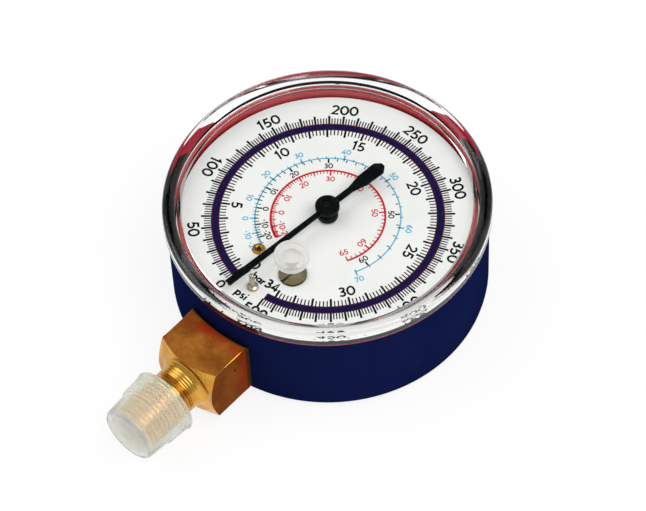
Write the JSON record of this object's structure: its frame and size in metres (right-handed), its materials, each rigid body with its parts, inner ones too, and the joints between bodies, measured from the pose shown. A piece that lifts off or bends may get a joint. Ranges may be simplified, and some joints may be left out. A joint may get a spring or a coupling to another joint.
{
  "type": "refrigerant pressure gauge",
  "caption": "Round Bourdon tube pressure gauge with a clear crown lens, a clockwise dial and a side stem with a square brass block and a push-on thread cap.",
  "frame": {"origin": "centre of the case's flat back", "axes": "+Z out of the dial, -Y along the stem, towards six o'clock"},
  "size_m": [0.0654, 0.0917, 0.027],
  "materials": {
    "navy_enamel": "satin",
    "red_plastic": "gloss",
    "clear_plastic": "clear gloss",
    "milky_plastic": "translucent",
    "brass": "turned",
    "bronze": "drawn",
    "plated_steel": "nickel plated",
    "bright_steel": "polished",
    "white_enamel": "semi matt",
    "black_enamel": "matt",
    "black_rubber": "matt"
  },
  "bodies": {
    "case": {"case": "navy_enamel", "case_screws": "plated_steel", "mouth_ring": "red_plastic", "lens_seal": "black_rubber", "socket": "brass", "restrictor": "brass", "bourdon_tube": "bronze", "movement_back_plate": "brass", "movement_front_plate": "brass", "movement_pillars": "brass", "plate_screws": "plated_steel", "seat_screws": "plated_steel", "pinion_bush": "brass", "hairspring": "bronze", "hairspring_stud": "brass", "dial": "white_enamel", "dial_posts": "brass", "dial_eyelets": "brass", "stop_pin": "plated_steel"},
    "sector": {"sector_gear": "brass", "sector_arbor": "bright_steel", "link_screw": "plated_steel"},
    "pointer": {"pinion_arbor": "bright_steel", "hairspring_collet": "brass", "pointer": "black_enamel", "pointer_hub": "black_enamel"},
    "link": {"link": "brass"},
    "tube_end": {"tube_tip": "brass", "tip_screw": "plated_steel"},
    "adjuster": {"adjusting_screw": "plated_steel"},
    "lens": {"lens": "clear_plastic"},
    "plug": {"lens_plug": "milky_plastic"},
    "cap": {"thread_cap": "milky_plastic"}
  },
  "joints": [
    {"name": "sector_swing", "type": "hinge", "parent": "case", "child": "sector", "pos_m": [0.00919, -0.01211, 0.0115], "axis": [0, 0, 1], "range_deg": [0, 29.6], "stiffness_Nm_per_rad": 0.0004},
    {"name": "pointer_turn", "type": "hinge", "parent": "case", "child": "pointer", "pos_m": [0, 0, 0.0115], "axis": [0, 0, 1], "range_deg": [-346, 0], "deforming": ["hairspring"]},
    {"name": "link_swing", "type": "hinge", "parent": "sector", "child": "link", "pos_m": [0.01451, -0.01351, 0.01245], "axis": [0, 0, 1], "range_deg": [-30, 0]},
    {"name": "tip_rise", "type": "slide", "parent": "case", "child": "tube_end", "axis": [0, 1, 0], "range_m": [0, 0.0029], "deforming": ["bourdon_tube"]},
    {"name": "adjusting_screw_turn", "type": "hinge", "parent": "case", "child": "adjuster", "pos_m": [0.0042, -0.01503, 0.01965], "axis": [0, 0, 1], "range_deg": [-180, 180]},
    {"name": "lens_lift", "type": "slide", "parent": "case", "child": "lens", "axis": [0, 0, 1], "range_m": [0, 0.03]},
    {"name": "plug_pull", "type": "slide", "parent": "lens", "child": "plug", "axis": [0, 0, 1], "range_m": [0, 0.01]},
    {"name": "cap_pull", "type": "slide", "parent": "case", "child": "cap", "axis": [0, -1, 0], "range_m": [0, 0.03]}
  ],
  "couplings": [
    {"joint": "pointer_turn", "follows": "sector_swing", "ratio": -11.667},
    {"joint": "link_swing", "follows": "sector_swing", "ratio": -1},
    {"joint": "tip_rise", "follows": "sector_swing", "m_per_rad": 0.005439}
  ]
}
